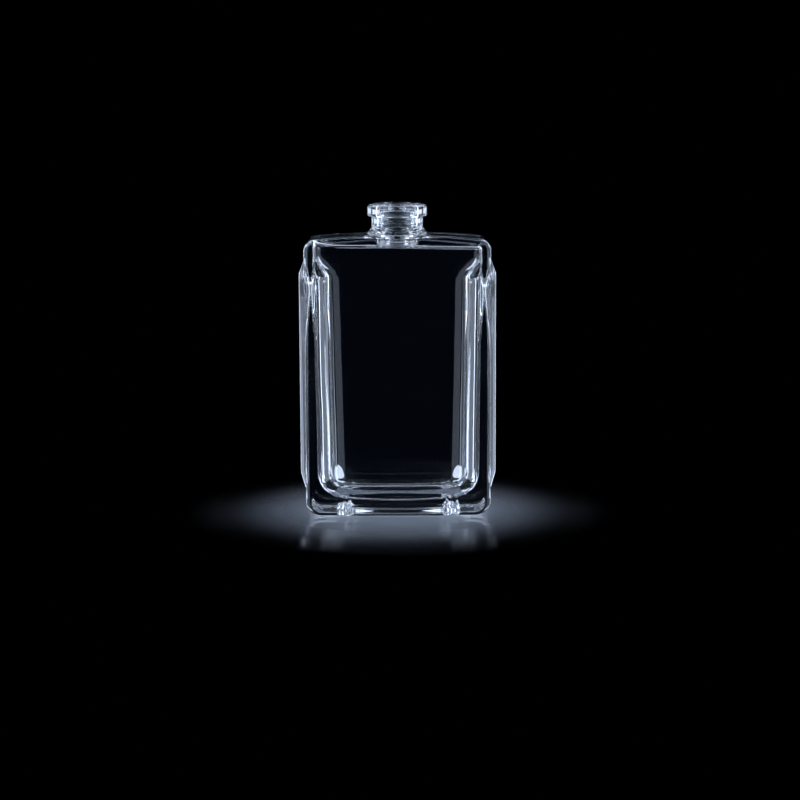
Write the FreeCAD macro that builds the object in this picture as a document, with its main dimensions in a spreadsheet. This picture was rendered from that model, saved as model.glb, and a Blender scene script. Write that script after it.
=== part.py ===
import FreeCAD, Part
import math
import os
import Sketcher

# Flat glass aftershave bottle with a crimp-bead neck, and the pouring plug in its bore.
# Millimetres. The origin is at the middle of the base, +Z is up and the front faces -Y.

dimensions = {
    # Outside of the glass
    "bodyWidth": 46.1,
    "bodyDepth": 21.0,
    "shoulderHeight": 68.8,
    "crownRise": 1.4,
    "cornerRadius": 2.4,
    "footRadius": 4.0,
    "edgeRadius": 1.75,
    # Raised panels on the narrow sides
    "panelProud": 1.6,
    "panelWidth": 10.5,
    "panelBottom": 5.8,
    "panelTopDrop": 4.6,
    "panelBevel": 4.1,
    "panelEdgeRadius": 1.2,
    # Neck and bead
    "neckRise": 7.2,
    "neckDiameter": 12.7,
    "neckFootRadius": 2.2,
    "neckFootLand": 0.05,
    "beadDiameter": 14.8,
    "beadHeight": 3.0,
    "beadTopRadius": 0.7,
    "beadUnderRadius": 0.3,
    "boreDiameter": 9.2,
    "rimEdgeRadius": 0.4,
    "throatRadius": 1.2,
    # Blown inside, as walls and corners at the roof of the cavity, its eaves, its hip and its floor
    "roofWall": 1.1,
    "eaveDrop": 5.2,
    "hipDrop": 9.2,
    "floorWall": 3.6,
    "sideWallRoof": 2.15,
    "sideWallEave": 2.15,
    "sideWallHip": 2.15,
    "sideWallFloor": 2.8,
    "faceWallRoof": 2.4,
    "faceWallEave": 2.45,
    "faceWallHip": 2.5,
    "faceWallFloor": 2.9,
    "cavityCornerRoof": 1.4,
    "cavityCornerEave": 1.8,
    "cavityCornerHip": 6.8,
    "cavityCornerFloor": 7.4,
    "cavityRoofRadius": 1.0,
    "cavityFloorRadius": 6.6,
    "cavityFlat": 0.15,
    # Bellies of the cavity behind the upper ends of the panels
    "bellyWall": 1.25,
    "bellyDepth": 2.9,
    "bellyFaceDrop": 10.6,
    "bellyFaceHeight": 3.2,
    "bellyHeadDrop": 1.7,
    "bellyFoot": 26.0,
    "bellySideClear": 4.0,
    "bellySideTaper": 1.5,
    # Push-up under the base
    "pushUpWidth": 31.0,
    "pushUpDepth": 13.0,
    "pushUpHeight": 1.5,
    "pushUpEndSlope": 4.5,
    "pushUpSideSlope": 3.0,
    "pushUpRadius": 2.0,
    # Pouring plug
    "plugClearance": 0.05,
    "plugLength": 8.0,
    "flangeOverlap": 1.3,
    "flangeThickness": 0.3,
    "flangeEdgeRadius": 0.12,
    "ribProud": 0.15,
    "ribHeight": 0.9,
    "ribCrest": 0.3,
    "ribPitch": 2.1,
    "ribCount": 3,
    "firstRibDrop": 1.8,
    "skirtWall": 0.8,
    "deckDrop": 0.9,
    "deckThickness": 0.9,
    "dishWall": 0.9,
    "orificeDiameter": 3.2,
    "leadIn": 0.5,
}

# Heights and radii that several features share
crown_height = "(sizes.shoulderHeight + sizes.crownRise)"
rim_height = f"({crown_height} + sizes.neckRise)"
roof_height = "(sizes.shoulderHeight - sizes.roofWall)"
eave_height = "(sizes.shoulderHeight - sizes.eaveDrop)"
hip_height = "(sizes.shoulderHeight - sizes.hipDrop)"
panel_top = "(sizes.shoulderHeight - sizes.panelTopDrop)"
bore_radius = "(sizes.boreDiameter / 2)"

# Two places nearer than this are the same place
near = 1e-3

doc = FreeCAD.newDocument("aftershave_bottle")
sheet = doc.addObject("Spreadsheet::Sheet", "sizes")
for row, (alias, value) in enumerate(dimensions.items(), start=1):
    sheet.set(f"A{row}", alias)
    sheet.set(f"B{row}", str(value))
    sheet.setAlias(f"B{row}", alias)
doc.recompute()


def size(formula):
    return float(sheet.evalExpression(formula))


def origin_item(body, role):
    return next(item for item in body.Origin.OriginFeatures if item.Role == role)


def new_sketch(body, name, plane, lift=None):
    sketch = body.newObject("Sketcher::SketchObject", name)
    sketch.AttachmentSupport = (origin_item(body, plane), [""])
    sketch.MapMode = "FlatFace"
    if lift:
        sketch.setExpression("AttachmentOffset.Base.z", lift)
    return sketch


def tie(sketch, kind, places, formula):
    # A dimension of the sketch that follows the sheet
    constraint = Sketcher.Constraint(kind, *places, size(formula))
    index = sketch.addConstraint(constraint)
    sketch.setExpression(f"Constraints[{index}]", formula)


def join(sketch, kind, *places):
    sketch.addConstraint(Sketcher.Constraint(kind, *places))


def straight_outline(sketch, corners):
    # Closed outline of straight lines, each corner held from the sketch's origin
    points = [FreeCAD.Vector(size(across), size(along), 0) for across, along in corners]
    for start, end in zip(points, points[1:] + points[:1]):
        sketch.addGeometry(Part.LineSegment(start, end), False)
    for index, (across, along) in enumerate(corners):
        join(sketch, "Coincident", (index - 1) % len(corners), 2, index, 1)
        tie(sketch, "DistanceX", (-1, 1, index, 1), across)
        tie(sketch, "DistanceY", (-1, 1, index, 1), along)


def crowned_outline(sketch, width, height, rise):
    # Front view of the flask: straight foot and sides under one shallow arc
    half = size(width) / 2
    side = size(height)
    bow = size(rise)
    radius = f"(({width})^2 / 4 + ({rise})^2) / (2 * {rise})"
    corners = [(-half, 0), (half, 0), (half, side), (-half, side)]
    foot_left, foot_right, top_right, top_left = (FreeCAD.Vector(x, y, 0) for x, y in corners)
    crown = FreeCAD.Vector(0, side + bow, 0)
    foot = sketch.addGeometry(Part.LineSegment(foot_left, foot_right), False)
    right = sketch.addGeometry(Part.LineSegment(foot_right, top_right), False)
    left = sketch.addGeometry(Part.LineSegment(top_left, foot_left), False)
    arc = sketch.addGeometry(Part.Arc(top_right, crown, top_left), False)
    join(sketch, "Coincident", foot, 2, right, 1)
    join(sketch, "Coincident", left, 2, foot, 1)
    join(sketch, "Coincident", right, 2, arc, 1)
    join(sketch, "Coincident", arc, 2, left, 1)
    join(sketch, "Horizontal", foot)
    join(sketch, "Vertical", right)
    join(sketch, "Vertical", left)
    join(sketch, "Symmetric", foot, 1, foot, 2, -1, 1)
    tie(sketch, "DistanceX", (foot, 1, foot, 2), width)
    tie(sketch, "DistanceY", (right, 1, right, 2), height)
    join(sketch, "PointOnObject", arc, 3, -2)
    tie(sketch, "Radius", (arc,), radius)


def rounded_rectangle(sketch, width, depth, radius):
    # Four sides and four quarter rounds, centred on the sketch's origin
    x = size(width) / 2
    y = size(depth) / 2
    r = size(radius)
    straight = [
        ((r - x, -y), (x - r, -y)),
        ((x, r - y), (x, y - r)),
        ((x - r, y), (r - x, y)),
        ((-x, y - r), (-x, r - y)),
    ]
    centres = [(x - r, r - y), (x - r, y - r), (r - x, y - r), (r - x, r - y)]
    up = FreeCAD.Vector(0, 0, 1)
    for start, end in straight:
        sketch.addGeometry(Part.LineSegment(FreeCAD.Vector(*start, 0), FreeCAD.Vector(*end, 0)), False)
    for quarter, centre in enumerate(centres, start=-1):
        circle = Part.Circle(FreeCAD.Vector(*centre, 0), up, r)
        start = quarter * math.pi / 2
        sketch.addGeometry(Part.ArcOfCircle(circle, start, start + math.pi / 2), False)
    for side in range(4):
        join(sketch, "Tangent", side, 2, 4 + side, 1)
        join(sketch, "Tangent", 4 + side, 2, (side + 1) % 4, 1)
        join(sketch, "Vertical" if side % 2 else "Horizontal", side)
    for quarter in range(5, 8):
        join(sketch, "Equal", 4, quarter)
    tie(sketch, "Radius", (4,), radius)
    tie(sketch, "DistanceX", (-1, 1, 1, 1), f"({width}) / 2")
    tie(sketch, "DistanceX", (3, 1, -1, 1), f"({width}) / 2")
    tie(sketch, "DistanceY", (-1, 1, 2, 1), f"({depth}) / 2")
    tie(sketch, "DistanceY", (0, 1, -1, 1), f"({depth}) / 2")


def ellipse(sketch, width, depth):
    long_end = FreeCAD.Vector(size(width) / 2, 0, 0)
    short_end = FreeCAD.Vector(0, size(depth) / 2, 0)
    curve = sketch.addGeometry(Part.Ellipse(long_end, short_end, FreeCAD.Vector()), False)
    sketch.exposeInternalGeometry(curve)
    long_axis = curve + 1
    short_axis = curve + 2
    join(sketch, "Coincident", curve, 3, -1, 1)
    join(sketch, "Horizontal", long_axis)
    tie(sketch, "Distance", (long_axis,), width)
    tie(sketch, "Distance", (short_axis,), depth)


def edges_where(feature, test):
    # Names of the edges whose sampled points pass the test, leaving out those shrunk to a point
    samples = 5
    named = enumerate(feature.Shape.Edges, start=1)
    whole = ((number, edge) for number, edge in named if not edge.Degenerated)
    return [f"Edge{number}" for number, edge in whole if test(edge.discretize(samples))]


def round_edges(body, name, radius, test):
    # Fillet on those edges of the body's newest feature whose points all pass the test
    doc.recompute()
    base = body.Tip
    fillet = body.newObject("PartDesign::Fillet", name)
    fillet.Base = (base, edges_where(base, test))
    fillet.setExpression("Radius", radius)
    doc.recompute()
    return fillet


def turn(body, kind, sketch):
    # Full turn of a profile about the bottle's axis
    feature = body.newObject(kind, sketch.Name + "_turned")
    feature.Profile = sketch
    feature.ReferenceAxis = (origin_item(body, "Z_Axis"), [""])
    feature.Angle = 360
    return feature


def loft(body, kind, name, first, *others):
    feature = body.newObject(kind, name)
    feature.Profile = first
    feature.Sections = list(others)
    feature.Ruled = True
    return feature


def from_axis(point):
    return math.hypot(point.x, point.y)


def flask(body):
    # Front outline through the depth, with its ends and then its front and back edges rounded
    half_width = size("sizes.bodyWidth / 2")
    half_depth = size("sizes.bodyDepth / 2")
    shoulder = size("sizes.shoulderHeight")
    front = new_sketch(body, "front_outline", "XZ_Plane")
    crowned_outline(front, "sizes.bodyWidth", "sizes.shoulderHeight", "sizes.crownRise")
    pad = body.newObject("PartDesign::Pad", "flask_pad")
    pad.Profile = front
    pad.SideType = "Symmetric"
    pad.setExpression("Length", "sizes.bodyDepth")

    def at_end(points, height):
        return all(abs(abs(p.x) - half_width) < near and abs(p.z - height) < near for p in points)

    def on_face(points):
        return all(abs(abs(p.y) - half_depth) < near for p in points)

    round_edges(body, "shoulder_corners", "sizes.cornerRadius", lambda points: at_end(points, shoulder))
    round_edges(body, "foot_corners", "sizes.footRadius", lambda points: at_end(points, 0))
    round_edges(body, "face_edges", "sizes.edgeRadius", on_face)


def side_block(body, kind, name, ends):
    # Block tapering between two upright rectangles on one narrow side, mirrored to the other.
    # Each rectangle is given by its place along X, its half width, its bottom and its top.
    sketches = []
    for number, (away, across, bottom, top) in enumerate(ends, start=1):
        sketch = new_sketch(body, f"{name}_end_{number}", "YZ_Plane", away)
        straight_outline(sketch, [
            (f"-{across}", bottom),
            (across, bottom),
            (across, top),
            (f"-{across}", top),
        ])
        sketches.append(sketch)
    block = loft(body, kind, name, *sketches)
    mirrored = body.newObject("PartDesign::Mirrored", f"{name}_pair")
    mirrored.Originals = [block]
    mirrored.MirrorPlane = (origin_item(body, "YZ_Plane"), [""])
    body.Tip = mirrored


def side_panels(body):
    # A low bevelled panel on each narrow side
    face = size("sizes.bodyWidth / 2")
    half_width = size("sizes.panelWidth / 2")
    low = size("sizes.panelBottom")
    high = size(panel_top)
    bevel = "sizes.panelBevel"
    foot = ("sizes.bodyWidth / 2", "(sizes.panelWidth / 2)", "sizes.panelBottom", panel_top)
    front = (
        "sizes.bodyWidth / 2 + sizes.panelProud",
        f"(sizes.panelWidth / 2 - {bevel})",
        f"sizes.panelBottom + {bevel}",
        f"{panel_top} - {bevel}",
    )
    side_block(body, "PartDesign::AdditiveLoft", "side_panel", (foot, front))

    def on_panel(points):
        inside = all(abs(p.y) < half_width + near and low - near < p.z < high + near for p in points)
        return inside and all(abs(p.x) > face - near for p in points)

    round_edges(body, "panel_edges", "sizes.panelEdgeRadius", on_panel)


def neck(body):
    # Straight neck and bead, turned, then the foot and the bead's edges rounded
    neck_radius = size("sizes.neckDiameter / 2")
    bead_radius = size("sizes.beadDiameter / 2")
    shoulder = size("sizes.shoulderHeight")
    crown = size(crown_height)
    root = "sizes.shoulderHeight - sizes.cornerRadius"
    under = f"{rim_height} - sizes.beadHeight"
    profile = new_sketch(body, "neck_profile", "XZ_Plane")
    straight_outline(profile, [
        ("0", root),
        ("sizes.neckDiameter / 2", root),
        ("sizes.neckDiameter / 2", under),
        ("sizes.beadDiameter / 2", under),
        ("sizes.beadDiameter / 2", rim_height),
        ("0", rim_height),
    ])
    turn(body, "PartDesign::Revolution", profile)

    def at_foot(points):
        return all(abs(from_axis(p) - neck_radius) < near and shoulder < p.z < crown + near for p in points)

    def bead_edge(height):
        def test(points):
            return all(abs(from_axis(p) - bead_radius) < near and abs(p.z - height) < near for p in points)
        return test

    shoulder_flat = "sizes.bodyDepth / 2 - sizes.edgeRadius - sizes.neckDiameter / 2 - sizes.neckFootLand"
    round_edges(body, "neck_foot", f"min(sizes.neckFootRadius; {shoulder_flat})", at_foot)
    round_edges(body, "bead_top", "sizes.beadTopRadius", bead_edge(size(rim_height)))
    round_edges(body, "bead_under", "sizes.beadUnderRadius", bead_edge(size(under)))


def bellies(body):
    # The inside follows the upper end of each panel, where the wall is thinnest
    deepest = "sizes.bodyWidth / 2 - sizes.bellyWall"
    face_top = "sizes.shoulderHeight - sizes.bellyFaceDrop"
    half_width = "sizes.bodyDepth / 2 - sizes.faceWallRoof - sizes.bellySideClear"
    mouth = (
        f"{deepest} - sizes.bellyDepth",
        f"({half_width})",
        "sizes.bellyFoot",
        "sizes.shoulderHeight - sizes.bellyHeadDrop",
    )
    face = (
        deepest,
        f"({half_width} - sizes.bellySideTaper)",
        f"{face_top} - sizes.bellyFaceHeight",
        face_top,
    )
    side_block(body, "PartDesign::SubtractiveLoft", "belly", (mouth, face))


def cavity(body):
    # Blown hollow: its corners are sharp above the eaves, round from the hip down and fullest at the floor.
    # It bellies out behind the panels and opens into the bore.
    floor = size("sizes.floorWall")
    roof = size(roof_height)
    bore = size(bore_radius)
    rim = size(rim_height)
    sections = []
    levels = {"Floor": "sizes.floorWall", "Hip": hip_height, "Eave": eave_height, "Roof": roof_height}
    for level, height in levels.items():
        sketch = new_sketch(body, f"cavity_{level.lower()}", "XY_Plane", height)
        width = f"sizes.bodyWidth - 2 * sizes.sideWall{level}"
        depth = f"sizes.bodyDepth - 2 * sizes.faceWall{level}"
        corner = f"min(sizes.cavityCorner{level}; ({depth}) / 2 - sizes.cavityFlat)"
        rounded_rectangle(sketch, width, depth, corner)
        sections.append(sketch)
    loft(body, "PartDesign::SubtractiveLoft", "cavity", *sections)

    def at_height(height):
        return lambda points: all(abs(p.z - height) < near for p in points)

    def bore_edge(height):
        level = at_height(height)
        return lambda points: level(points) and all(abs(from_axis(p) - bore) < near for p in points)

    throat_reach = f"({bore_radius} + sizes.throatRadius + sizes.cavityFlat)"
    roof_radius = f"min(sizes.cavityRoofRadius; sizes.bodyDepth / 2 - sizes.faceWallRoof - {throat_reach})"
    floor_reach = "sizes.bodyDepth / 2 - sizes.faceWallFloor - 2 * sizes.cavityFlat"
    round_edges(body, "cavity_floor_edge", f"min(sizes.cavityFloorRadius; {floor_reach})", at_height(floor))
    round_edges(body, "cavity_roof_edge", roof_radius, at_height(roof))
    bellies(body)
    profile = new_sketch(body, "bore_profile", "XZ_Plane")
    start = f"{roof_height} - sizes.cavityRoofRadius"
    straight_outline(profile, [
        ("0", start),
        (bore_radius, start),
        (bore_radius, rim_height),
        ("0", rim_height),
    ])
    turn(body, "PartDesign::Groove", profile)
    round_edges(body, "throat", "sizes.throatRadius", bore_edge(roof))
    round_edges(body, "rim_edge", "sizes.rimEdgeRadius", bore_edge(rim))


def push_up(body):
    # Shallow oval hollow under the base, so that the bottle stands on a ring
    foot = new_sketch(body, "push_up_foot", "XY_Plane")
    top = new_sketch(body, "push_up_top", "XY_Plane", "sizes.pushUpHeight")
    ellipse(foot, "sizes.pushUpWidth", "sizes.pushUpDepth")
    top_width = "sizes.pushUpWidth - 2 * sizes.pushUpEndSlope"
    top_depth = "sizes.pushUpDepth - 2 * sizes.pushUpSideSlope"
    ellipse(top, top_width, top_depth)
    loft(body, "PartDesign::SubtractiveLoft", "push_up", foot, top)
    reach = size("sizes.pushUpWidth / 2") + near
    depth = size("sizes.pushUpDepth / 2") + near
    height = size("sizes.pushUpHeight")

    def oval(points):
        inside = all(abs(p.x) < reach and abs(p.y) < depth for p in points)
        low = all(abs(p.z) < near for p in points)
        high = all(abs(p.z - height) < near for p in points)
        return inside and (low or high)

    round_edges(body, "push_up_edges", "sizes.pushUpRadius", oval)


def glass_bottle():
    body = doc.addObject("PartDesign::Body", "glass_bottle")
    flask(body)
    side_panels(body)
    neck(body)
    cavity(body)
    push_up(body)
    body.Placement = FreeCAD.Placement()
    return body


def orifice_reducer():
    # Turned plug: its flange rests on the rim at the local zero, and its ribs stand just clear of the bore
    body = doc.addObject("PartDesign::Body", "orifice_reducer")
    crest = f"({bore_radius} - sizes.plugClearance)"
    barrel = f"({crest} - sizes.ribProud)"
    hollow = f"({barrel} - sizes.skirtWall)"
    deck_top = "(sizes.flangeThickness - sizes.deckDrop)"
    deck_under = f"({deck_top} - sizes.deckThickness)"
    orifice = "sizes.orificeDiameter / 2"
    flange = f"{bore_radius} + sizes.flangeOverlap"
    profile = new_sketch(body, "plug_profile", "XZ_Plane")
    straight_outline(profile, [
        (orifice, deck_under),
        (hollow, deck_under),
        (hollow, "-sizes.plugLength"),
        (f"{barrel} - sizes.leadIn / 2", "-sizes.plugLength"),
        (barrel, "sizes.leadIn - sizes.plugLength"),
        (barrel, "0"),
        (flange, "0"),
        (flange, "sizes.flangeThickness"),
        (f"{barrel} - sizes.dishWall", "sizes.flangeThickness"),
        (orifice, deck_top),
    ])
    turn(body, "PartDesign::Revolution", profile)
    flange_radius = size(flange)
    flange_top = size("sizes.flangeThickness")

    def flange_edge(points):
        return all(abs(from_axis(p) - flange_radius) < near and abs(p.z - flange_top) < near for p in points)

    round_edges(body, "flange_edge", "sizes.flangeEdgeRadius", flange_edge)
    rib_profile = new_sketch(body, "rib_profile", "XZ_Plane")
    straight_outline(rib_profile, [
        (hollow, "-sizes.firstRibDrop - sizes.ribHeight"),
        (barrel, "-sizes.firstRibDrop - sizes.ribHeight"),
        (crest, "-sizes.firstRibDrop - (sizes.ribHeight + sizes.ribCrest) / 2"),
        (crest, "-sizes.firstRibDrop - (sizes.ribHeight - sizes.ribCrest) / 2"),
        (barrel, "-sizes.firstRibDrop"),
        (hollow, "-sizes.firstRibDrop"),
    ])
    rib = turn(body, "PartDesign::Revolution", rib_profile)
    doc.recompute()
    ribs = body.newObject("PartDesign::LinearPattern", "ribs")
    ribs.Originals = [rib]
    ribs.Direction = (origin_item(body, "Z_Axis"), [""])
    ribs.Reversed = True
    ribs.setExpression("Length", "sizes.ribPitch * (sizes.ribCount - 1)")
    ribs.setExpression("Occurrences", "sizes.ribCount")
    body.Tip = ribs
    body.setExpression("Placement.Base.z", rim_height)
    return body


pieces = [glass_bottle(), orifice_reducer()]
doc.recompute()

cuts = ("PartDesign::Groove", "PartDesign::SubtractiveLoft")
for item in doc.Objects:
    if {"Invalid", "Error"} & set(item.State):
        raise RuntimeError(f"{item.Name} did not build: {item.State}")
    if item.TypeId in cuts and item.Shape.Volume > item.BaseFeature.Shape.Volume - near:
        raise RuntimeError(f"{item.Name} took nothing away")
for piece in pieces:
    shape = piece.Shape
    if shape.isNull() or not shape.isValid() or len(shape.Solids) != 1:
        raise RuntimeError(f"{piece.Label} is not one sound solid")

os.makedirs("parts", exist_ok=True)
for piece in pieces:
    piece.Shape.exportStep(f"parts/{piece.Label}.step")
    print(f"{piece.Label}: {piece.Shape.Volume:.1f} mm3")
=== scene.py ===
import bpy
import math
from mathutils import Matrix, Vector


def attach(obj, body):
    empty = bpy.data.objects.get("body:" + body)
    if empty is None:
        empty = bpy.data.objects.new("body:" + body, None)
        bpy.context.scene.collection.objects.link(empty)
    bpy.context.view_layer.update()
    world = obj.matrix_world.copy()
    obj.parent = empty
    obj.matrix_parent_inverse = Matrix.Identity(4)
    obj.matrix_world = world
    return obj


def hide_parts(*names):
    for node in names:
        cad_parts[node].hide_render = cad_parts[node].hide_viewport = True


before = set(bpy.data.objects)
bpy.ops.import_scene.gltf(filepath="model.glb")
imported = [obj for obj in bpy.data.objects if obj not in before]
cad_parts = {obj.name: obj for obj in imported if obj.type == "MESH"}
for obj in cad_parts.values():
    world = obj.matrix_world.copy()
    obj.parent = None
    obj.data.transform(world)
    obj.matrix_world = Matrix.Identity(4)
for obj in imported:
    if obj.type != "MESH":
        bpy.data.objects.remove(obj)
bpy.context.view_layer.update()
scene = bpy.context.scene
mm = 0.001
fullTurn = 2 * math.pi
quarterTurn = math.pi / 2
print("frame loaded:", sorted(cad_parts))


class Field:
    # a number worked out inside a node tree, so that a formula reads as a formula

    def __init__(self, tree, socket):
        self.tree = tree
        self.socket = socket

    def does(self, operation, *others):
        return mathNode(self.tree, operation, self, *others)

    def __add__(self, other):
        return self.does("ADD", other)

    def __sub__(self, other):
        return self.does("SUBTRACT", other)

    def __rsub__(self, other):
        return mathNode(self.tree, "SUBTRACT", other, self)

    def __mul__(self, other):
        return self.does("MULTIPLY", other)

    def __truediv__(self, other):
        return self.does("DIVIDE", other)

    def __rtruediv__(self, other):
        return mathNode(self.tree, "DIVIDE", other, self)

    __radd__ = __add__
    __rmul__ = __mul__


def feed(tree, socket, value):
    if isinstance(value, Field):
        tree.links.new(value.socket, socket)
    elif isinstance(value, bpy.types.NodeSocket):
        tree.links.new(value, socket)
    else:
        socket.default_value = value


def openSocket(sockets, name):
    return next(socket for socket in sockets if socket.name == name and socket.enabled)


def addNode(tree, kind, settings=None, inputs=None):
    node = tree.nodes.new(kind)
    for name, value in (settings or {}).items():
        setattr(node, name, value)
    for name, value in (inputs or {}).items():
        feed(tree, openSocket(node.inputs, name), value)
    return node


def mathNode(tree, operation, *values):
    node = addNode(tree, "ShaderNodeMath", {"operation": operation})
    for socket, value in zip(node.inputs, values):
        feed(tree, socket, value)
    return Field(tree, node.outputs[0])


def unitClamp(field):
    return field.does("MAXIMUM", 0).does("MINIMUM", 1)


def splitVector(tree, vector):
    parts = addNode(tree, "ShaderNodeSeparateXYZ", None, {"Vector": vector})
    return [Field(tree, socket) for socket in parts.outputs]


def joinVector(tree, x, y, z):
    return addNode(tree, "ShaderNodeCombineXYZ", None, {"X": x, "Y": y, "Z": z}).outputs[0]


def inputLabel(key):
    # panelProud becomes Panel proud
    return "".join(" " + letter.lower() if letter.isupper() else letter for letter in key).capitalize()


def treeInputs(sizes, numbers, lengths):
    # a tree's inputs by label: numbers as they are and lengths in metres
    inputs = {inputLabel(key): sizes[key] for key in numbers}
    inputs.update({inputLabel(key): sizes[key] * mm for key in lengths})
    return inputs


def shapeTree(name, inputs):
    # a geometry tree with one named input for each size, and its inputs by name
    tree = bpy.data.node_groups.new(name, "GeometryNodeTree")
    tree.interface.new_socket("Outline", in_out="INPUT", socket_type="NodeSocketGeometry")
    for label, value in inputs.items():
        kind = "NodeSocketInt" if isinstance(value, int) else "NodeSocketFloat"
        tree.interface.new_socket(label, in_out="INPUT", socket_type=kind)
    tree.interface.new_socket("Finish", in_out="INPUT", socket_type="NodeSocketMaterial")
    tree.interface.new_socket("Solid", in_out="OUTPUT", socket_type="NodeSocketGeometry")
    entry = tree.nodes.new("NodeGroupInput")
    return tree, {socket.name: Field(tree, socket) for socket in entry.outputs if socket.name}


def endTree(tree, geometry, finish):
    # closes seams, shades smooth and puts the finish on
    seam = 0.001 * mm
    closed = addNode(tree, "GeometryNodeMergeByDistance", None, {"Geometry": geometry, "Distance": seam})
    smooth = addNode(tree, "GeometryNodeSetShadeSmooth", None, {"Geometry": closed.outputs[0]})
    whole = addNode(tree, "GeometryNodeRealizeInstances", None, {"Geometry": smooth.outputs[0]})
    done = addNode(tree, "GeometryNodeSetMaterial", None, {
        "Geometry": whole.outputs[0], "Material": finish,
    })
    leave = tree.nodes.new("NodeGroupOutput")
    tree.links.new(done.outputs[0], leave.inputs[0])


def makePiece(name, tree, outline, inputs, finish):
    # runs the tree on the outline and keeps the result as a plain mesh
    holder = bpy.data.objects.new(name + "Outline", outline)
    scene.collection.objects.link(holder)
    modifier = holder.modifiers.new(name, "NODES")
    modifier.node_group = tree
    for socket in tree.interface.items_tree:
        if socket.in_out == "INPUT" and socket.name in inputs:
            modifier[socket.identifier] = inputs[socket.name]
        if socket.in_out == "INPUT" and socket.name == "Finish":
            modifier[socket.identifier] = finish
    ready = holder.evaluated_get(bpy.context.evaluated_depsgraph_get())
    mesh = bpy.data.meshes.new_from_object(ready)
    mesh.name = name
    holder.modifiers.remove(modifier)
    bpy.data.objects.remove(holder)
    mesh.materials.clear()
    mesh.materials.append(finish)
    mesh.polygons.foreach_set("material_index", [0] * len(mesh.polygons))
    piece = bpy.data.objects.new(name, mesh)
    scene.collection.objects.link(piece)
    print(name, "made,", len(mesh.polygons), "faces")
    return piece


# The glass, in mm: rings from the middle of the cavity floor, out over the rim, to the middle of the base
glassSizes = {
    "bodyWidth": 46.1,
    "bodyDepth": 21.0,
    "shoulderHeight": 68.8,
    "shoulderRadius": 2.4,
    "crownRise": 1.4,
    "crownFade": 30,  # the crown of the shoulder dies out this far down the walls
    "footRadius": 4.0,
    "edgeRadius": 1.75,
    "rimHeight": 77.4,
    "rimEdge": 0.4,
    "neckRadius": 6.35,
    "neckFootRadius": 2.2,
    "beadRadius": 7.4,
    "beadHeight": 3.0,
    "beadTop": 0.7,
    "beadUnder": 0.3,
    "beadRoot": 0.25,
    "boreRadius": 4.6,
    "throatRadius": 1.2,
    # the raised panel on each narrow side
    "panelProud": 1.6,
    "panelWidth": 10.5,
    "panelBottom": 5.8,
    "panelTop": 64.2,
    "panelBevel": 4.1,
    "panelSoftness": 0.09,
    "panelMargin": 0.4,  # close rings reach this far past either end of a bevel
    # the cavity at its four levels
    "floorHeight": 3.6,
    "floorWidth": 40.5,
    "floorDepth": 15.2,
    "floorCorner": 7.4,
    "floorRadius": 6.6,
    "floorSag": 0.5,
    "floorSagReach": 14.0,
    "floorSagFade": 9.0,
    "hipHeight": 59.6,
    "hipWidth": 41.8,
    "hipDepth": 16.0,
    "hipCorner": 6.8,
    "eaveHeight": 63.6,
    "eaveWidth": 41.8,
    "eaveDepth": 16.1,
    "eaveCorner": 1.8,
    "roofHeight": 67.7,
    "roofWidth": 41.8,
    "roofDepth": 16.2,
    "roofCorner": 1.4,
    "roofRadius": 1.0,
    "roofTilt": 0.3,
    # the bellies of the cavity behind the upper ends of the panels
    "bellyMouth": 18.9,
    "bellyDepth": 2.9,
    "bellyWidth": 8.2,
    "bellyFoot": 26.0,
    "bellyHead": 67.1,
    "bellySideTaper": 1.5,
    "bellyFootTaper": 29.0,
    "bellyHeadTaper": 8.9,
    "bellySoftness": 0.5,
    # the push-up under the base
    "pushUpWidth": 31.0,
    "pushUpDepth": 13.0,
    "pushUpHeight": 1.5,
    "pushUpEndSlope": 4.5,
    "pushUpSideSlope": 3.0,
    "pushUpSoftness": 0.3,
    "pushUpSteepness": 3,  # the power with which its climb eases off
    # the uneven skin inside, and the chill wrinkles at the ends of the push-up and of the floor above it
    "waveHeight": 0.16,
    "waveLength": 17.0,
    "waveSeed": 3.0,
    "wrinkleHeight": 2.8,
    "wrinkleLength": 1.6,
    "wrinkleStart": 10.8,
    "wrinkleReach": 1.4,
    "wrinkleThreshold": 0.35,  # the noise that gives no wrinkle yet
    "wrinkleSpan": 0.3,  # how much more of it gives a full one
    "pushUpWrinkleStart": 0.08,  # the share of the climb on which they set in
    "floorWrinkle": 0.4,  # their share on the floor
    "floorWrinkleTurn": 0.9,  # they end at this angle up the floor's round, in radians
    # columns of faces on a quarter of a ring
    "sideColumns": 29,
    "cornerColumns": 16,
    "frontColumns": 20,
    # steps on the rounds, and the spacing of rings on the straight runs
    "floorSteps": 16,
    "floorRoundSteps": 24,
    "roofRoundSteps": 12,
    "throatSteps": 10,
    "rimEdgeSteps": 6,
    "beadTopSteps": 8,
    "beadUnderSteps": 5,
    "beadRootSteps": 4,
    "neckFootSteps": 12,
    "shoulderSteps": 18,
    "footSteps": 20,
    "pushUpSteps": 40,
    "wallPitch": 0.9,
    "hipPitch": 0.4,
    "eavePitch": 0.6,
    "borePitch": 1.2,
    "beadPitch": 0.5,
    "neckPitch": 0.4,
    "edgePitch": 0.5,
    "bevelPitch": 0.3,
    "panelPitch": 1.8,
    # where rings stand on the flats, as shares of the way: roof, crown, the land under the base, push-up
    "roofShares": (0.04, 0.12, 0.24, 0.38, 0.52, 0.66, 0.8, 0.92),
    "crownShares": (0.06, 0.14, 0.24, 0.36, 0.48, 0.6, 0.72, 0.83, 0.92, 0.97),
    "landShares": (0.06, 0.16, 0.3, 0.46, 0.62, 0.78, 0.9, 0.97),
    "pushUpShares": (0.97, 0.88, 0.74, 0.58, 0.42, 0.26, 0.12, 0),
}
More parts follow.
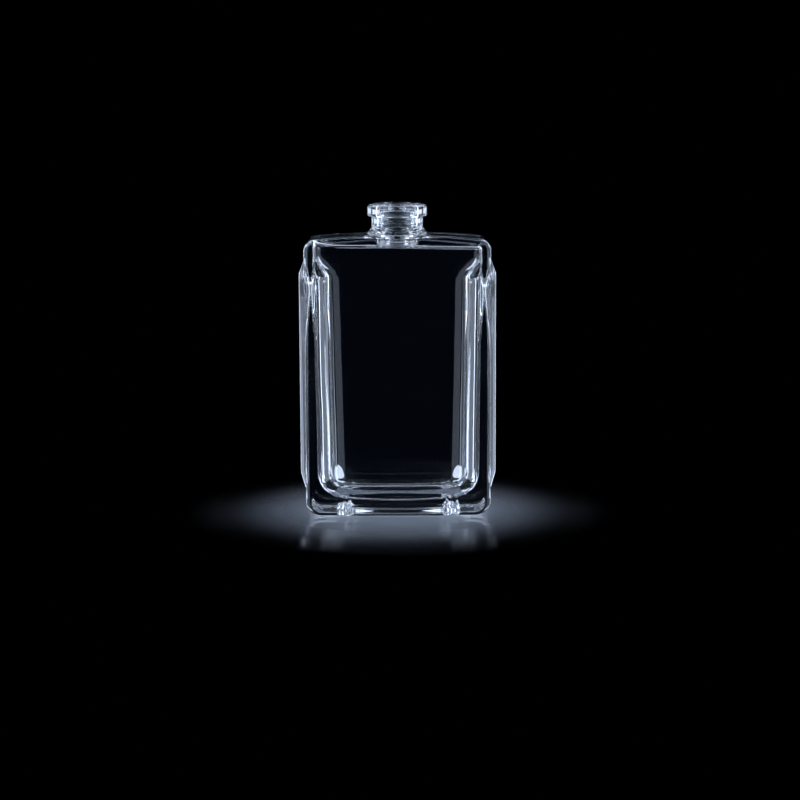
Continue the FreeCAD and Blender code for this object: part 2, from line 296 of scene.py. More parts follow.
glassInputs = treeInputs(
    glassSizes,
    ("sideColumns", "cornerColumns", "frontColumns", "waveSeed", "wrinkleThreshold", "wrinkleSpan"),
    (
        "bodyWidth", "crownRise",
        "panelProud", "panelWidth", "panelBottom", "panelTop", "panelBevel", "panelSoftness",
        "bellyMouth", "bellyDepth", "bellyWidth", "bellyFoot", "bellyHead",
        "bellySideTaper", "bellyFootTaper", "bellyHeadTaper", "bellySoftness",
        "floorHeight", "floorSag", "floorSagReach", "floorSagFade", "roofHeight", "roofTilt",
        "waveHeight", "waveLength", "wrinkleHeight", "wrinkleLength", "wrinkleStart", "wrinkleReach",
    ),
)


def arcSteps(count):
    return [quarterTurn * step / count for step in range(count + 1)]


def runSteps(start, end, pitch):
    # places between two ends, about a pitch apart, without the ends
    count = max(1, round(abs(end - start) / pitch))
    return [start + (end - start) * step / count for step in range(1, count)]


def mixed(first, last, share):
    return first + (last - first) * share


def ringRow(**given):
    row = dict(
        halfWidth=0, halfDepth=0, edge=0, corner=0, dip=0, sweep=quarterTurn, height=0, roundness=0,
        crown=0, ovalWidth=0, ovalDepth=0, panel=0, sway=0, lift=0, wrinkle=0,
    )
    row.update(given)
    return row


def cavityRow(sizes, height, inset=0):
    # one level of the blown hollow: fuller corners towards its floor, sharper ones above the hip
    levels = ("floor", "hip", "eave", "roof")
    step = sum(height > sizes[level + "Height"] for level in levels[1:-1])
    low, high = levels[step:step + 2]
    share = (height - sizes[low + "Height"]) / (sizes[high + "Height"] - sizes[low + "Height"])
    keys = ("Width", "Depth", "Corner")
    width, depth, corner = (mixed(sizes[low + key], sizes[high + key], share) for key in keys)
    return ringRow(
        halfWidth=width / 2 - inset, halfDepth=depth / 2 - inset,
        edge=corner - inset, corner=corner - inset, height=height, sway=1, lift=1,
    )


def flaskRow(sizes, fromEnd, corner, height, crown=0):
    # one level of the outside, turning in at its four corners near either end
    sweep = math.acos(1 - min(fromEnd, sizes["edgeRadius"]) / sizes["edgeRadius"])
    return ringRow(
        halfWidth=sizes["bodyWidth"] / 2, halfDepth=sizes["bodyDepth"] / 2,
        edge=sizes["edgeRadius"], corner=corner, dip=max(corner - fromEnd, 0), sweep=sweep,
        height=height, crown=crown, panel=1,
    )


def roundRow(radius, height, **more):
    return ringRow(ovalWidth=radius, ovalDepth=radius, height=height, roundness=1, **more)


def cavityRows(sizes):
    floor = sizes["floorHeight"]
    hip = sizes["hipHeight"]
    eave = sizes["eaveHeight"]
    roof = sizes["roofHeight"]
    low = sizes["floorRadius"]
    high = sizes["roofRadius"]
    rows = [roundRow(0, floor, sway=1, lift=1)]
    edgeRow = cavityRow(sizes, floor, low)
    for step in range(1, sizes["floorSteps"]):
        share = step / sizes["floorSteps"]
        shrunk = {key: edgeRow[key] * share for key in ("halfWidth", "halfDepth", "edge", "corner")}
        rows.append({**edgeRow, **shrunk, "wrinkle": sizes["floorWrinkle"]})
    for angle in arcSteps(sizes["floorRoundSteps"]):
        rise = low * (1 - math.cos(angle))
        wrinkle = sizes["floorWrinkle"] * max(1 - angle / sizes["floorWrinkleTurn"], 0)
        rows.append({**cavityRow(sizes, floor + rise, low * (1 - math.sin(angle))), "wrinkle": wrinkle})
    levels = runSteps(floor + low, hip, sizes["wallPitch"]) + [hip]
    levels += runSteps(hip, eave, sizes["hipPitch"]) + [eave]
    levels += runSteps(eave, roof - high, sizes["eavePitch"])
    for height in levels:
        rows.append(cavityRow(sizes, height))
    for angle in arcSteps(sizes["roofRoundSteps"]):
        rows.append(cavityRow(sizes, roof - high + high * math.sin(angle), high * (1 - math.cos(angle))))
    throat = sizes["boreRadius"] + sizes["throatRadius"]
    roofEdge = rows[-1]
    for share in sizes["roofShares"]:
        still = 1 - share
        rows.append({
            **roofEdge, "roundness": share, "ovalWidth": throat, "ovalDepth": throat,
            "sway": still, "lift": still,
        })
    return rows


def neckRows(sizes):
    bore = sizes["boreRadius"]
    throat = sizes["throatRadius"]
    roof = sizes["roofHeight"]
    rim = sizes["rimHeight"]
    edge = sizes["rimEdge"]
    bead = sizes["beadRadius"]
    top = sizes["beadTop"]
    low = sizes["beadUnder"]
    under = rim - sizes["beadHeight"]
    root = sizes["beadRoot"]
    neck = sizes["neckRadius"]
    foot = sizes["neckFootRadius"]
    crownTop = sizes["shoulderHeight"] + sizes["crownRise"]
    rows = []
    for angle in arcSteps(sizes["throatSteps"]):
        rows.append(roundRow(bore + throat * (1 - math.sin(angle)), roof + throat * (1 - math.cos(angle))))
    for height in runSteps(roof + throat, rim - edge, sizes["borePitch"]):
        rows.append(roundRow(bore, height))
    for angle in arcSteps(sizes["rimEdgeSteps"]):
        rows.append(roundRow(bore + edge * (1 - math.cos(angle)), rim - edge * (1 - math.sin(angle))))
    for radius in runSteps(bore + edge, bead - top, sizes["beadPitch"]):
        rows.append(roundRow(radius, rim))
    for angle in arcSteps(sizes["beadTopSteps"]):
        rows.append(roundRow(bead - top * (1 - math.sin(angle)), rim - top * (1 - math.cos(angle))))
    for height in runSteps(rim - top, under + low, sizes["beadPitch"]):
        rows.append(roundRow(bead, height))
    for angle in arcSteps(sizes["beadUnderSteps"]):
        rows.append(roundRow(bead - low * (1 - math.cos(angle)), under + low * (1 - math.sin(angle))))
    for angle in arcSteps(sizes["beadRootSteps"]):
        rows.append(roundRow(neck + root * (1 - math.sin(angle)), under - root * (1 - math.cos(angle))))
    for height in runSteps(under - root, crownTop + foot, sizes["neckPitch"]):
        rows.append(roundRow(neck, height))
    for angle in arcSteps(sizes["neckFootSteps"]):
        spread = 1 - math.cos(angle)
        rows.append(roundRow(neck + foot * spread, crownTop + foot * (1 - math.sin(angle)), crown=spread))
    return rows


def flaskRows(sizes):
    shoulder = sizes["shoulderHeight"]
    rise = sizes["crownRise"]
    top = sizes["shoulderRadius"]
    foot = sizes["footRadius"]
    neckFoot = sizes["neckRadius"] + sizes["neckFootRadius"]
    rows = []
    crownEdge = flaskRow(sizes, 0, top, shoulder + rise, 1)
    for share in sizes["crownShares"]:
        rows.append({**crownEdge, "roundness": 1 - share, "ovalWidth": neckFoot, "ovalDepth": neckFoot})
    for angle in arcSteps(sizes["shoulderSteps"]):
        drop = top * (1 - math.cos(angle))
        rows.append(flaskRow(sizes, drop, top, shoulder + rise - drop, 1))
    # down the walls, with close rings on the bevels of the panels
    aboveTop = sizes["panelTop"] + sizes["panelMargin"]
    belowTop = sizes["panelTop"] - sizes["panelBevel"] - sizes["panelMargin"]
    aboveBottom = sizes["panelBottom"] + sizes["panelBevel"] + sizes["panelMargin"]
    belowBottom = sizes["panelBottom"] - sizes["panelMargin"]
    levels = runSteps(shoulder - top, aboveTop, sizes["edgePitch"]) + [aboveTop]
    levels += runSteps(aboveTop, belowTop, sizes["bevelPitch"]) + [belowTop]
    levels += runSteps(belowTop, aboveBottom, sizes["panelPitch"]) + [aboveBottom]
    levels += runSteps(aboveBottom, belowBottom, sizes["bevelPitch"]) + [belowBottom]
    levels += runSteps(belowBottom, foot, sizes["edgePitch"])
    fadeEnd = shoulder - top - sizes["crownFade"]
    for level in levels:
        crown = min(max((level - fadeEnd) / sizes["crownFade"], 0), 1)
        rows.append(flaskRow(sizes, max(top, foot), foot, level + rise * crown, crown))
    for angle in arcSteps(sizes["footSteps"]):
        height = foot * (1 - math.sin(angle))
        rows.append(flaskRow(sizes, height, foot, height))
    return rows


def baseRows(sizes):
    soft = sizes["pushUpSoftness"]
    halfWidth = sizes["pushUpWidth"] / 2
    halfDepth = sizes["pushUpDepth"] / 2
    landEdge = flaskRow(sizes, 0, sizes["footRadius"], 0)
    rows = []
    for share in sizes["landShares"]:
        rows.append({
            **landEdge, "roundness": share, "ovalWidth": halfWidth + soft, "ovalDepth": halfDepth + soft,
        })
    for step in range(sizes["pushUpSteps"] + 1):
        share = step / sizes["pushUpSteps"]
        endInset = mixed(-soft, sizes["pushUpEndSlope"] + soft, share)
        sideInset = mixed(-soft, sizes["pushUpSideSlope"] + soft, share)
        rows.append(ringRow(
            ovalWidth=halfWidth - endInset, ovalDepth=halfDepth - sideInset, roundness=1,
            height=sizes["pushUpHeight"] * (1 - (1 - share) ** sizes["pushUpSteepness"]),
            wrinkle=min(share / sizes["pushUpWrinkleStart"], 1) * (1 - share),
        ))
    last = rows[-1]
    for share in sizes["pushUpShares"]:
        shrunk = {"ovalWidth": last["ovalWidth"] * share, "ovalDepth": last["ovalDepth"] * share}
        rows.append({**last, **shrunk})
    return rows


ringVectors = {
    "wall": ("halfWidth", "halfDepth", "edge"),
    "turn": ("corner", "dip", "height"),
    "oval": ("ovalWidth", "ovalDepth", "sweep"),
    "blend": ("roundness", "crown", "panel"),
    "wave": ("sway", "lift", "wrinkle"),
}
ringLengths = ("halfWidth", "halfDepth", "edge", "corner", "dip", "height", "ovalWidth", "ovalDepth")


def ringOutline(name, rows):
    # one point for each ring, with the ring's sizes as its attributes
    mesh = bpy.data.meshes.new(name)
    mesh.from_pydata([(0, 0, row["height"] * mm) for row in rows], [], [])
    for label, keys in ringVectors.items():
        values = [row[key] * (mm if key in ringLengths else 1) for row in rows for key in keys]
        mesh.attributes.new(label, "FLOAT_VECTOR", "POINT").data.foreach_set("vector", values)
    return mesh


def bottleTree(inputs):
    # a ball with a ring for each point of the outline, whose points move to where that ring's sizes say
    tree, given = shapeTree("bottleLoft", inputs)
    sideColumns = given["Side columns"]
    cornerColumns = given["Corner columns"]
    frontColumns = given["Front columns"]
    columns = sideColumns + cornerColumns + frontColumns
    around = columns * 4
    count = addNode(tree, "GeometryNodeAttributeDomainSize", {"component": "MESH"}, {
        "Geometry": given["Outline"],
    })
    rings = Field(tree, openSocket(count.outputs, "Point Count")) - 1
    ball = addNode(tree, "GeometryNodeMeshUVSphere", None, {
        "Segments": around, "Rings": rings, "Radius": 1,
    })
    index = Field(tree, addNode(tree, "GeometryNodeInputIndex").outputs[0])
    ring = ((index - 1) / around).does("FLOOR") + 1
    place = index - 1 - (ring - 1) * around
    column = place.does("PINGPONG", columns)

    def ringValues(label):
        kind = {"data_type": "FLOAT_VECTOR"}
        named = addNode(tree, "GeometryNodeInputNamedAttribute", kind, {"Name": label})
        value = openSocket(named.outputs, "Attribute")
        sample = addNode(tree, "GeometryNodeSampleIndex", {**kind, "domain": "POINT"}, {
            "Geometry": given["Outline"], "Value": value, "Index": ring,
        })
        return splitVector(tree, openSocket(sample.outputs, "Value"))

    halfWidth, halfDepth, edge = ringValues("wall")
    corner, dip, height = ringValues("turn")
    ovalWidth, ovalDepth, sweep = ringValues("oval")
    roundness, crown, panel = ringValues("blend")
    sway, lift, wrinkle = ringValues("wave")
    # the rounded oblong: along the narrow side, round the corner, then along the wide face
    along = (column / sideColumns).does("MINIMUM", 1)
    swing = unitClamp((column - sideColumns) / cornerColumns) * sweep
    run = unitClamp((column - sideColumns - cornerColumns) / frontColumns) * quarterTurn
    cut = corner - edge * (1 - swing.does("COSINE"))
    reach = (cut * cut - dip * dip).does("MAXIMUM", 0).does("SQRT")
    boxX = (halfWidth - corner + reach) * run.does("COSINE")
    boxY = along * (halfDepth - edge) + edge * swing.does("SINE")
    quarter = column / columns * quarterTurn
    x = boxX + (ovalWidth * quarter.does("COSINE") - boxX) * roundness
    y = boxY + (ovalDepth * quarter.does("SINE") - boxY) * roundness
    bodyHalf = given["Body width"] / 2
    ratio = x / bodyHalf
    z = height - crown * given["Crown rise"] * ratio * ratio
    # the raised panel on each narrow side, bevelled all round
    proudMost = given["Panel proud"]
    soft = given["Panel softness"]
    mitreSoft = soft * 3
    fromEnds = (z - given["Panel bottom"]).does("SMOOTH_MIN", given["Panel top"] - z, mitreSoft)
    inside = (given["Panel width"] / 2 - y).does("SMOOTH_MIN", fromEnds, mitreSoft)
    proud = (inside * (proudMost / given["Panel bevel"])).does("SMOOTH_MIN", proudMost, soft)
    x = x + panel * proud.does("SMOOTH_MAX", 0, soft).does("MINIMUM", proudMost)
    # the bellies of the cavity behind the upper ends of the panels
    rise = ((z - given["Belly foot"]) / given["Belly foot taper"]).does(
        "MINIMUM", (given["Belly head"] - z) / given["Belly head taper"],
    )
    rise = rise.does("MINIMUM", (given["Belly width"] / 2 - y) / given["Belly side taper"])
    wall = given["Belly mouth"] + given["Belly depth"] * rise.does("MINIMUM", 1)
    start = x.does("MAXIMUM", given["Belly mouth"])
    x = x + sway * (wall - start).does("SMOOTH_MAX", 0, given["Belly softness"])
    # the floor of the cavity, dished along its length
    dish = 1 - x * x / (given["Floor sag reach"] * given["Floor sag reach"])
    fade = unitClamp(1 - (z - given["Floor height"]) / given["Floor sag fade"])
    z = z - lift * given["Floor sag"] * dish.does("MAXIMUM", 0) * fade * fade
    # the other three quarters of the ring
    angle = place / around * fullTurn
    x = x * angle.does("COSINE").does("SIGN")
    y = y * angle.does("SINE").does("SIGN")
    # the roof that sank a little to one side, and the uneven skin that blowing leaves inside
    high = z / given["Roof height"]
    z = z - lift * high * high * given["Roof tilt"] * (x / bodyHalf)
    noise = addNode(tree, "ShaderNodeTexNoise", {"noise_dimensions": "4D"}, {
        "Vector": joinVector(tree, x, y, z), "W": given["Wave seed"],
        "Scale": 1 / given["Wave length"], "Detail": 1.0, "Roughness": 0.4,
    })
    waveX, waveY, waveZ = (part - 0.5 for part in splitVector(tree, openSocket(noise.outputs, "Color")))
    swell = given["Wave height"] * 2
    # chill wrinkles at the two ends of the push-up and of the floor above it
    crinkle = addNode(tree, "ShaderNodeTexNoise", {"noise_dimensions": "4D"}, {
        "Vector": joinVector(tree, x, y, 0.0), "W": given["Wave seed"],
        "Scale": 1 / given["Wrinkle length"], "Detail": 1.5, "Roughness": 0.5,
    })
    chill = wrinkle * unitClamp((x.does("ABSOLUTE") - given["Wrinkle start"]) / given["Wrinkle reach"])
    aboveThreshold = Field(tree, crinkle.outputs[0]) - given["Wrinkle threshold"]
    crest = unitClamp(aboveThreshold / given["Wrinkle span"])
    z = z + crest * chill * given["Wrinkle height"]
    spot = joinVector(tree, x + waveX * swell * sway, y + waveY * swell * sway, z + waveZ * swell * lift)
    marked = addNode(tree, "GeometryNodeStoreNamedAttribute", {"data_type": "FLOAT", "domain": "POINT"}, {
        "Geometry": ball.outputs[0], "Name": "chill", "Value": chill,
    })
    moved = addNode(tree, "GeometryNodeSetPosition", None, {
        "Geometry": marked.outputs[0], "Position": spot,
    })
    endTree(tree, moved.outputs[0], given["Finish"])
    return tree


# The pouring plug, in mm: one closed outline turned about the axis, with ribs repeated down its barrel
plugSizes = {
    "rimHeight": glassSizes["rimHeight"],
    "orificeRadius": 1.6,
    "hollowRadius": 3.6,
    "barrelRadius": 4.4,
    "barrelTolerance": 0.02,  # what lies this close to the barrel's radius carries ribs
    "flangeRadius": 5.9,
    "flangeThickness": 0.3,
    "dishRadius": 3.5,
    "deckTop": -0.6,  # from the rim, as the next two are
    "deckUnder": -1.5,
    "firstRib": -1.8,
    "length": 8.0,
    "leadIn": 0.5,
    "ribCount": 3,
    "ribPitch": 2.1,
    "ribHeight": 0.9,
    "ribCrest": 0.3,
    "ribProud": 0.14,
    # the rounds that moulding leaves on its corners
    "seatRound": 0.04,
    "flangeRound": 0.05,
    "skirtRound": 0.1,
    "edgeRound": 0.12,
    "dishRound": 0.15,
    "leadInRound": 0.2,
    "hollowRound": 0.3,
    "roundSteps": 6,
    "segments": 120,
    "outlinePitch": 0.12,
}
plugInputs = treeInputs(
    plugSizes,
    ("segments", "roundSteps", "ribCount"),
    ("outlinePitch", "barrelRadius", "barrelTolerance", "ribPitch", "ribHeight", "ribCrest", "ribProud"),
)
plugInputs["First rib height"] = (plugSizes["rimHeight"] + plugSizes["firstRib"]) * mm


def plugOutline(sizes):
    # corners of the closed outline, each with its round
    corners = [
        (sizes["orificeRadius"], sizes["deckUnder"], sizes["edgeRound"]),
        (sizes["hollowRadius"], sizes["deckUnder"], sizes["hollowRound"]),
        (sizes["hollowRadius"], -sizes["length"], sizes["skirtRound"]),
        (sizes["barrelRadius"] - sizes["leadIn"] / 2, -sizes["length"], sizes["edgeRound"]),
        (sizes["barrelRadius"], sizes["leadIn"] - sizes["length"], sizes["leadInRound"]),
        (sizes["barrelRadius"], 0, sizes["seatRound"]),
        (sizes["flangeRadius"], 0, sizes["flangeRound"]),
        (sizes["flangeRadius"], sizes["flangeThickness"], sizes["edgeRound"]),
        (sizes["dishRadius"], sizes["flangeThickness"], sizes["dishRound"]),
        (sizes["orificeRadius"], sizes["deckTop"], sizes["dishRound"]),
    ]
    mesh = bpy.data.meshes.new("plugOutline")
    points = [(radius * mm, 0, (sizes["rimHeight"] + height) * mm) for radius, height, soft in corners]
    edges = [(here, (here + 1) % len(points)) for here in range(len(points))]
    mesh.from_pydata(points, edges, [])
    softness = mesh.attributes.new("softness", "FLOAT", "POINT")
    softness.data.foreach_set("value", [soft * mm for radius, height, soft in corners])
    return mesh


def plugTree(inputs):
    tree, given = shapeTree("plugTurning", inputs)
    line = addNode(tree, "GeometryNodeMeshToCurve", None, {"Mesh": given["Outline"]})
    softness = addNode(tree, "GeometryNodeInputNamedAttribute", {"data_type": "FLOAT"}, {
        "Name": "softness",
    })
    eased = addNode(tree, "GeometryNodeFilletCurve", {"mode": "POLY"}, {
        "Curve": line.outputs[0], "Count": given["Round steps"], "Limit Radius": True,
        "Radius": openSocket(softness.outputs, "Attribute"),
    })
    even = addNode(tree, "GeometryNodeResampleCurve", {"mode": "LENGTH"}, {
        "Curve": eased.outputs[0], "Length": given["Outline pitch"],
    })
    count = addNode(tree, "GeometryNodeAttributeDomainSize", {"component": "CURVE"}, {
        "Geometry": even.outputs[0],
    })
    points = Field(tree, openSocket(count.outputs, "Point Count"))
    # a flat sheet whose columns become turns of the outline
    sheet = addNode(tree, "GeometryNodeMeshGrid", None, {
        "Size X": 1, "Size Y": 1, "Vertices X": given["Segments"] + 1, "Vertices Y": points + 1,
    })
    position = addNode(tree, "GeometryNodeInputPosition").outputs[0]
    turnShare, outlineShare = (part + 0.5 for part in splitVector(tree, position)[:2])
    step = (outlineShare * points).does("ROUND").does("MODULO", points)
    sample = addNode(tree, "GeometryNodeSampleIndex", {"data_type": "FLOAT_VECTOR", "domain": "POINT"}, {
        "Geometry": even.outputs[0], "Value": position, "Index": step,
    })
    sampled = splitVector(tree, openSocket(sample.outputs, "Value"))
    radius = sampled[0]
    z = sampled[2]
    # a rib stands proud wherever the barrel passes one of the repeats
    below = given["First rib height"] - z
    number = (below / given["Rib pitch"]).does("FLOOR").does("MAXIMUM", 0)
    number = number.does("MINIMUM", given["Rib count"] - 1)
    local = below - number * given["Rib pitch"]
    middle = given["Rib height"] / 2
    flank = (given["Rib height"] - given["Rib crest"]) / 2
    share = unitClamp((middle - (local - middle).does("ABSOLUTE")) / flank)
    share = share * share * (3 - share * 2)  # eases its flanks
    offBarrel = (radius - given["Barrel radius"]).does("ABSOLUTE")
    onBarrel = offBarrel.does("LESS_THAN", given["Barrel tolerance"])
    radius = radius + share * onBarrel * given["Rib proud"]
    angle = turnShare * fullTurn
    spot = joinVector(tree, radius * angle.does("COSINE"), radius * angle.does("SINE"), z)
    moved = addNode(tree, "GeometryNodeSetPosition", None, {
        "Geometry": sheet.outputs[0], "Position": spot,
    })
    endTree(tree, moved.outputs[0], given["Finish"])
    return tree


# Finishes
skinFinish = {
    "patchSwell": 0.6,  # what swell and grain give to the patches
    "patchGrain": 0.4,
    "patchStart": 0.4,
    "patchEnd": 0.62,
}


def shaderGroup(name, inputs, outputs):
    group = bpy.data.node_groups.new(name, "ShaderNodeTree")
    for label, value in inputs.items():
        socket = group.interface.new_socket(label, in_out="INPUT", socket_type="NodeSocketFloat")
        socket.default_value = value
    for label in outputs:
        group.interface.new_socket(label, in_out="OUTPUT", socket_type="NodeSocketFloat")
    entry = group.nodes.new("NodeGroupInput")
    leave = group.nodes.new("NodeGroupOutput")
    return group, {socket.name: Field(group, socket) for socket in entry.outputs if socket.name}, leave


def smoothRange(tree, value, start, end):
    # a soft step from 0 to 1 between two values
    step = addNode(tree, "ShaderNodeMapRange", {"interpolation_type": "SMOOTHSTEP"}, {
        "Value": value, "From Min": start, "From Max": end,
    })
    return Field(tree, step.outputs[0])


def mouldedSkin(look):
    # slow swell and fine grain of a moulded surface, and the patches where it is less bright
    group, given, leave = shaderGroup(
        "mouldedSkin", {"Swell size": 0.01, "Grain size": 0.001, "Grain share": 0.1},
        ("Height", "Patches"),
    )
    place = addNode(group, "ShaderNodeTexCoord").outputs["Object"]
    swellNoise = addNode(group, "ShaderNodeTexNoise", None, {
        "Vector": place, "Scale": 1 / given["Swell size"], "Detail": 2.0, "Roughness": 0.45,
    })
    grainNoise = addNode(group, "ShaderNodeTexNoise", None, {
        "Vector": place, "Scale": 1 / given["Grain size"], "Detail": 3.0, "Roughness": 0.55,
    })
    swell = Field(group, swellNoise.outputs[0])
    grain = Field(group, grainNoise.outputs[0])
    feed(group, leave.inputs["Height"], swell + grain * given["Grain share"])
    both = swell * look["patchSwell"] + grain * look["patchGrain"]
    feed(group, leave.inputs["Patches"], smoothRange(group, both, look["patchStart"], look["patchEnd"]))
    return group


def newFinish(name):
    finish = bpy.data.materials.new(name)
    finish.use_nodes = True
    tree = finish.node_tree
    shader = next(node for node in tree.nodes if node.type == "BSDF_PRINCIPLED")
    return finish, tree, shader


def setShader(shader, values):
    for name, value in values.items():
        shader.inputs[name].default_value = value


def mixColours(tree, share, first, last):
    colour = addNode(tree, "ShaderNodeMix", {"data_type": "RGBA"}, {"A": first, "B": last})
    feed(tree, colour.inputs[0], share)
    return openSocket(colour.outputs, "Result")


def skinOn(tree, shader, group, sizes, depth):
    # bumps the surface with the moulded skin, and gives its patches
    node = addNode(tree, "ShaderNodeGroup", {"node_tree": group}, sizes)
    bump = addNode(tree, "ShaderNodeBump", None, {
        "Strength": 1.0, "Distance": depth, "Height": node.outputs["Height"],
    })
    feed(tree, shader.inputs["Normal"], bump.outputs[0])
    return Field(tree, node.outputs["Patches"])


glassFinish = {
    "tint": (0.985, 0.992, 0.995, 1),
    "shadowTint": (0.9, 0.92, 0.93, 1),
    "depthTint": (0.8, 0.9, 0.95, 1),
    "depthTintDensity": 6.0,
    "ior": 1.52,
    "clearest": 0.0,
    "haziest": 0.03,
    "frost": 0.12,  # roughness that the chill wrinkles add
    "swell": {"Swell size": 0.009, "Grain size": 0.0016, "Grain share": 0.05},
    "swellDepth": 0.00004,
}


def clearGlass(skin, look):
    finish, tree, shader = newFinish("clearGlass")
    setShader(shader, {
        "Base Color": look["tint"], "IOR": look["ior"], "Transmission Weight": 1.0, "Metallic": 0.0,
    })
    patches = skinOn(tree, shader, skin, look["swell"], look["swellDepth"])
    chill = addNode(tree, "ShaderNodeAttribute", {"attribute_name": "chill"})
    frost = unitClamp(Field(tree, chill.outputs["Fac"])) * look["frost"]
    haze = patches * (look["haziest"] - look["clearest"]) + look["clearest"]
    feed(tree, shader.inputs["Roughness"], haze + frost)
    # lamps shine straight through, so that the floor isn't left in the dark
    through = addNode(tree, "ShaderNodeBsdfTransparent", None, {"Color": look["shadowTint"]})
    rays = tree.nodes.new("ShaderNodeLightPath")
    either = tree.nodes.new("ShaderNodeMixShader")
    leave = next(node for node in tree.nodes if node.type == "OUTPUT_MATERIAL")
    tree.links.new(rays.outputs["Is Shadow Ray"], either.inputs[0])
    tree.links.new(shader.outputs[0], either.inputs[1])
    tree.links.new(through.outputs[0], either.inputs[2])
    tree.links.new(either.outputs[0], leave.inputs["Surface"])
    depth = addNode(tree, "ShaderNodeVolumeAbsorption", None, {
        "Color": look["depthTint"], "Density": look["depthTintDensity"],
    })
    tree.links.new(depth.outputs[0], leave.inputs["Volume"])
    return finish


plugFinish = {
    "pale": (0.93, 0.95, 0.96, 1),
    "dull": (0.86, 0.89, 0.91, 1),
    "ior": 1.51,
    "smoothest": 0.07,
    "roughest": 0.13,
    "swell": {"Swell size": 0.003, "Grain size": 0.00035, "Grain share": 0.4},
    "swellDepth": 0.00002,
}


def naturalPolyethylene(skin, look):
    finish, tree, shader = newFinish("naturalPolyethylene")
    setShader(shader, {"IOR": look["ior"], "Transmission Weight": 1.0, "Metallic": 0.0})
    patches = skinOn(tree, shader, skin, look["swell"], look["swellDepth"])
    feed(tree, shader.inputs["Base Color"], mixColours(tree, patches, look["pale"], look["dull"]))
    haze = patches * (look["roughest"] - look["smoothest"]) + look["smoothest"]
    feed(tree, shader.inputs["Roughness"], haze)
    return finish


skin = mouldedSkin(skinFinish)
glassRows = cavityRows(glassSizes) + neckRows(glassSizes) + flaskRows(glassSizes) + baseRows(glassSizes)
glass = makePiece(
    "glassFlask", bottleTree(glassInputs), ringOutline("glassRings", glassRows), glassInputs,
    clearGlass(skin, glassFinish),
)
plug = makePiece(
    "pouringPlug", plugTree(plugInputs), plugOutline(plugSizes), plugInputs,
    naturalPolyethylene(skin, plugFinish),
)
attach(glass, "bottle")
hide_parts("glass_bottle")
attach(plug, "plug")
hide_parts("orifice_reducer")
print("pieces ride on their bodies")


# The set, in metres: a small floor with a painted pool of light in its middle that fades out to painted
# shade, in a dark room
setSizes = {
    "floorRadius": 0.055,
    "floorSegments": 96,
    "floorRoughness": 0.18,
    # the painted pool of light round the bottle, the painted shade further out, and how far each reaches
    "paintedPoolColour": (0.3, 0.31, 0.33, 1),
    "paintedShadeColour": (0.004, 0.0045, 0.006, 1),
    "paintedPoolReach": 0.012,
    "paintedShadeReach": 0.05,
    "softReach": 0.026,
    "roomColour": (0.0008, 0.0014, 0.0032, 1),
}


def discMesh(name, radius, segments):
    mesh = bpy.data.meshes.new(name)
    points = [(0, 0, 0)]
    for step in range(segments):
        angle = fullTurn * step / segments
        points.append((radius * math.cos(angle), radius * math.sin(angle), 0))
    faces = [(0, 1 + step, 1 + (step + 1) % segments) for step in range(segments)]
    mesh.from_pydata(points, [], faces)
    return mesh


def floorPaintedPool(sizes):
    finish, tree, shader = newFinish("floorPaintedPool")
    setShader(shader, {"Roughness": sizes["floorRoughness"]})
    place = addNode(tree, "ShaderNodeTexCoord").outputs["Object"]
    length = addNode(tree, "ShaderNodeVectorMath", {"operation": "LENGTH"}, {"Vector": place})
    far = length.outputs["Value"]
    # painted pool of light: pale near the middle, darkening with distance into painted shade
    fade = smoothRange(tree, far, sizes["paintedPoolReach"], sizes["paintedShadeReach"])
    colour = mixColours(tree, fade, sizes["paintedPoolColour"], sizes["paintedShadeColour"])
    feed(tree, shader.inputs["Base Color"], colour)
    # its edge melts away, so that no line shows where it ends
    melt = 1 - smoothRange(tree, far, sizes["softReach"], sizes["floorRadius"])
    feed(tree, shader.inputs["Alpha"], melt)
    return finish


floorDisc = discMesh("floor", setSizes["floorRadius"], setSizes["floorSegments"])
floor = bpy.data.objects.new("floor", floorDisc)
floor.data.materials.append(floorPaintedPool(setSizes))
scene.collection.objects.link(floor)
floor.visible_transmission = False

room = bpy.data.worlds.new("room")
room.use_nodes = True
roomBack = next(node for node in room.node_tree.nodes if node.type == "BACKGROUND")
roomBack.inputs["Color"].default_value = setSizes["roomColour"]
# the camera sees the dark room as black, and the glass shows its faint colour
roomRays = room.node_tree.nodes.new("ShaderNodeLightPath")
notSeen = mathNode(room.node_tree, "SUBTRACT", 1.0, roomRays.outputs["Is Camera Ray"])
feed(room.node_tree, roomBack.inputs["Strength"], notSeen)
scene.world = room

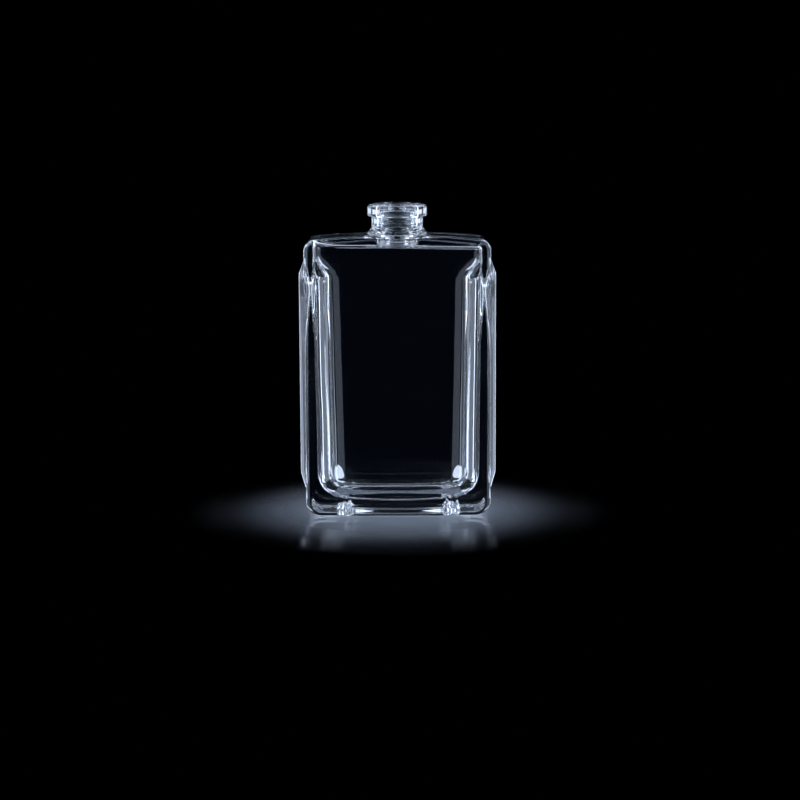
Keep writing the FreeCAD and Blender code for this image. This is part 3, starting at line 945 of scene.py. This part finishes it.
# Soft lights: degrees round from straight behind the bottle, degrees up, metres and watts.
# A light faces the middle of the bottle, or the height given as its aim
lightSizes = {
    "distance": 0.5,
    "middleHeight": 0.04,
    "colour": (0.68, 0.79, 1),
}
sideLights = {
    "keyPanel": {"turn": 46, "width": 0.09, "height": 0.9, "power": 0.11},
    "keyEdge": {"turn": 53.5, "width": 0.045, "height": 0.9, "power": 0.48},
    "backFill": {"turn": 22, "width": 0.21, "height": 0.9, "power": 0.04},
    "sideFill": {"turn": 88, "width": 0.52, "height": 0.9, "power": 0.35},
    "highBack": {"turn": 45, "rise": 48, "width": 0.25, "height": 0.25, "power": 0.45},
    "sideHigh": {"turn": 68, "rise": 22, "width": 0.32, "height": 0.2, "power": 0.6},
    "lowKey": {"turn": 35, "rise": -27, "width": 0.34, "height": 0.22, "power": 0.2, "shape": "ELLIPSE"},
    "neckBack": {"turn": 27, "rise": 1.6, "width": 0.24, "height": 0.036, "power": 0.034, "aim": 0.054},
    "neckSide": {"turn": 57, "rise": 1.6, "width": 0.28, "height": 0.036, "power": 0.026, "aim": 0.054},
    "highFront": {"turn": 115, "rise": 45, "width": 0.2, "height": 0.2, "power": 0.12},
}
middleLights = {
    "highMiddle": {"turn": 0, "rise": 74, "width": 0.3, "height": 0.12, "power": 0.2},
    "backHigh": {"turn": 0, "rise": 24, "width": 0.28, "height": 0.09, "power": 0.07},
}


def softLight(name, light, side=1):
    lamp = bpy.data.lights.new(name, "AREA")
    lamp.shape = light.get("shape", "RECTANGLE")
    lamp.size = light["width"]
    lamp.size_y = light["height"]
    lamp.energy = light["power"]
    lamp.color = lightSizes["colour"]
    turn = math.radians(side * light["turn"])
    rise = math.radians(light.get("rise", 0))
    middle = lightSizes["middleHeight"]
    outward = lightSizes["distance"] * math.cos(rise)
    upward = lightSizes["distance"] * math.sin(rise)
    place = Vector((outward * math.sin(turn), outward * math.cos(turn), middle + upward))
    aim = Vector((0, 0, light.get("aim", middle)))
    turned = (aim - place).to_track_quat("-Z", "Y").to_matrix().to_4x4()
    holder = bpy.data.objects.new(name, lamp)
    holder.matrix_world = Matrix.Translation(place) @ turned
    holder.visible_camera = False
    scene.collection.objects.link(holder)


for side in (-1, 1):
    for name, light in sideLights.items():
        softLight(name, light, side)
for name, light in middleLights.items():
    softLight(name, light)
print("set and lights placed")

cameraSizes = {
    "place": (0.00051, -0.5, 0.1001),
    "tilt": 81.8,
    "roll": -0.254,
    "lens": 90,
    "sensor": 36,
    "clipStart": 0.01,
}
view = bpy.data.cameras.new("camera")
view.lens = cameraSizes["lens"]
view.sensor_width = cameraSizes["sensor"]
view.clip_start = cameraSizes["clipStart"]
camera = bpy.data.objects.new("camera", view)
tilt = Matrix.Rotation(math.radians(cameraSizes["tilt"]), 4, "X")
roll = Matrix.Rotation(math.radians(cameraSizes["roll"]), 4, "Z")
camera.matrix_world = Matrix.Translation(cameraSizes["place"]) @ tilt @ roll
scene.collection.objects.link(camera)
scene.camera = camera
scene.view_settings.view_transform = "Standard"
# light passes many walls of glass before it reaches the camera
scene.cycles.max_bounces = 24
scene.cycles.transmission_bounces = 24
scene.cycles.glossy_bounces = 12
print("camera placed")
